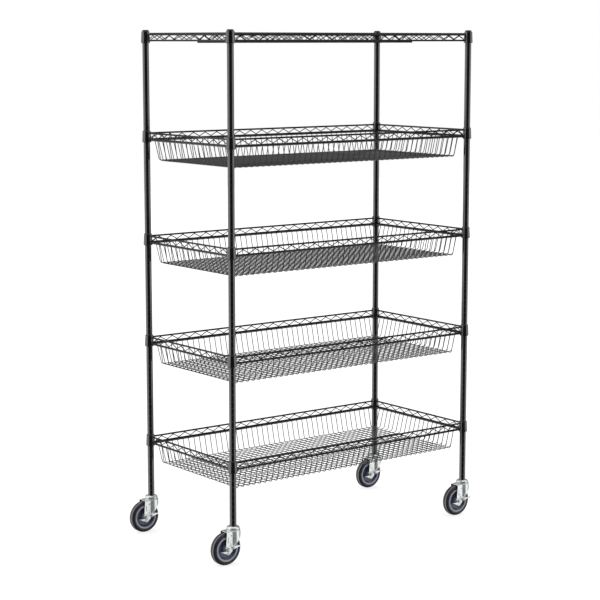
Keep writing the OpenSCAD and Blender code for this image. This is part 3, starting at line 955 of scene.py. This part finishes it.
FORK, FORK_CUT, RACE, DOME = fork_shape(), fork_cutter(), race_shape(), dome_shape()
TYRE, CORE, LEVER, BOLT, NUT = tyre_shape(), core_shape(), lever_shape(), bolt_shape(), nut_shape()
domes = Shape()
for c in CORNERS:
    swivel, axle = Vector((*POST_XY[c], 0)), AXLE[c]
    domes.add(DOME.moved(swivel))
    parts = [
        ("pressed_fork", FORK, "fork", "zinc_plate", "fork", ["fork"], swivel, FORK_CUT),
        ("fork_race", RACE, "fork", "zinc_plate", "zinc", [], swivel, None),
        ("threaded_bolt", BOLT, "fork", "bright_steel", "steel", ["axle_bolt"], axle, None),
        ("chamfered_nut", NUT, "fork", "bright_steel", "steel", ["axle_nut"], axle, None),
        ("stamped_lever", LEVER, "lever", "zinc_plate", "zinc", ["brake_lever"], axle, None),
        ("moulded_tyre", TYRE, "wheel", "grey_tyre", "tyre", ["tyre"], axle, None),
        ("moulded_core", CORE, "wheel", "wheel_core", "core", ["wheel_core"], axle, None),
    ]
    for name, shape, body, slot, material, nodes, origin, cut in parts:
        replaced = [f"{node}_{c}" for node in nodes]
        piece(f"{name}_{c}", shape, f"{body}_{c}", material, replaced, origin, cut)
piece("raceway_domes", domes, "cart", "dome", ["raceway_caps"])


# ---------------------------------------------------------------- CAD nodes that stay in view

KEPT = [
    ("post_caps", "plastic"), ("split_sleeves", "plastic"), ("stem_sockets", "steel"),
    ("caster_stems", "zinc"), ("raceway_balls", "steel"),
]
KEPT += [(f"post_{c}", "post") for c in CORNERS]
KEPT += [(f"axle_sleeve_{c}", "zinc") for c in CORNERS]
KEPT += [(f"wheel_bearing_{c}", "nylon") for c in CORNERS]
for node, key in KEPT:
    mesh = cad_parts[node].data
    mesh.materials.clear()
    mesh.materials.append(MATERIALS[key])


# ---------------------------------------------------------------- floor, camera and light

def floor():
    """A pale floor that glows a little, and that glossy parts don't mirror."""
    half, glow, white = 14.0, 0.74, (1, 1, 1, 1)
    darker, lighter = (0.42, 0.42, 0.42), (0.44, 0.44, 0.44)
    mesh = bpy.data.meshes.new("studio_floor")
    corners = [(-half, -half, 0), (half, -half, 0), (half, half, 0), (-half, half, 0)]
    mesh.from_pydata(corners, [], [(0, 1, 2, 3)])
    obj = bpy.data.objects.new("studio_floor", mesh)
    bpy.context.scene.collection.objects.link(obj)
    n = Nodes("pale_floor")
    tone = n.blend(n.spread(n.noise(1.5), 0.0, 1.0), darker, lighter)
    n.finish(
        tone, n.spread(n.noise(3.0), 0.75, 0.85), specular_ior_level=0.0,
        emission_color=white, emission_strength=glow,
    )
    mesh.materials.append(n.material)
    obj.visible_glossy = False


floor()

# Where the camera of the front view stands, and the direction it looks in.
CAMERA_AT = Vector((GRID_X - 4.2992, GRID_Y - 5.5777, 1.9678))
YAW, PITCH = math.radians(37.309), math.radians(8.421)
FOCAL_PIXELS, IMAGE_PIXELS, SENSOR = 1754.37, 600, 36.0

camera_data = bpy.data.cameras.new("camera")
camera_data.sensor_width = SENSOR
camera_data.lens = SENSOR * FOCAL_PIXELS / IMAGE_PIXELS
camera = bpy.data.objects.new("camera", camera_data)
bpy.context.scene.collection.objects.link(camera)
camera.location = CAMERA_AT
camera.rotation_euler = (math.pi / 2 - PITCH, 0, -YAW)
bpy.context.scene.camera = camera


def studio_world():
    """A white room: bright at both sides and above, dim behind, dark in front, seen as white."""
    wall, back_wall, ambient, white = 1.3, 0.3, 0.03, (1, 1, 1, 1)
    world = bpy.data.worlds.new("studio")
    bpy.context.scene.world = world
    world.use_nodes = True
    tree = world.node_tree
    tree.nodes.clear()

    def node(kind, **settings):
        made = tree.nodes.new(kind)
        for key, value in settings.items():
            setattr(made, key, value)
        return made

    def panel(direction, start, end, brightness):
        """Light from one direction, which fades in where the dot product is start..end."""
        towards = node("ShaderNodeVectorMath", operation="DOT_PRODUCT")
        tree.links.new(position, towards.inputs[0])
        towards.inputs[1].default_value = direction
        ramp = node("ShaderNodeMapRange", interpolation_type="SMOOTHSTEP")
        tree.links.new(towards.outputs["Value"], ramp.inputs["Value"])
        ramp.inputs["From Min"].default_value = start
        ramp.inputs["From Max"].default_value = end
        ramp.inputs["To Min"].default_value = 0.0
        ramp.inputs["To Max"].default_value = brightness
        return ramp.outputs["Result"]

    def larger(a, b):
        made = node("ShaderNodeMath", operation="MAXIMUM")
        tree.links.new(a, made.inputs[0])
        tree.links.new(b, made.inputs[1])
        return made.outputs[0]

    def background(colour):
        made = node("ShaderNodeBackground")
        made.inputs["Color"].default_value = colour
        return made

    position = node("ShaderNodeTexCoord").outputs["Generated"]
    right = (math.cos(YAW), -math.sin(YAW), 0)
    left = tuple(-v for v in right)
    back = (math.sin(YAW), math.cos(YAW), 0)
    sides = larger(panel(left, 0.60, 0.67, wall), panel(right, 0.74, 0.94, wall))
    level = larger(sides, larger(panel(back, 0.5, 0.85, back_wall), panel(UP, 0.45, 0.80, wall)))
    least = node("ShaderNodeValue").outputs[0]
    least.default_value = ambient
    light, seen = background(white), background(white)
    tree.links.new(larger(level, least), light.inputs["Strength"])
    mix = node("ShaderNodeMixShader")
    tree.links.new(node("ShaderNodeLightPath").outputs["Is Camera Ray"], mix.inputs["Fac"])
    tree.links.new(light.outputs[0], mix.inputs[1])
    tree.links.new(seen.outputs[0], mix.inputs[2])
    tree.links.new(mix.outputs[0], node("ShaderNodeOutputWorld").inputs["Surface"])


studio_world()
bpy.context.scene.view_settings.view_transform = "Standard"
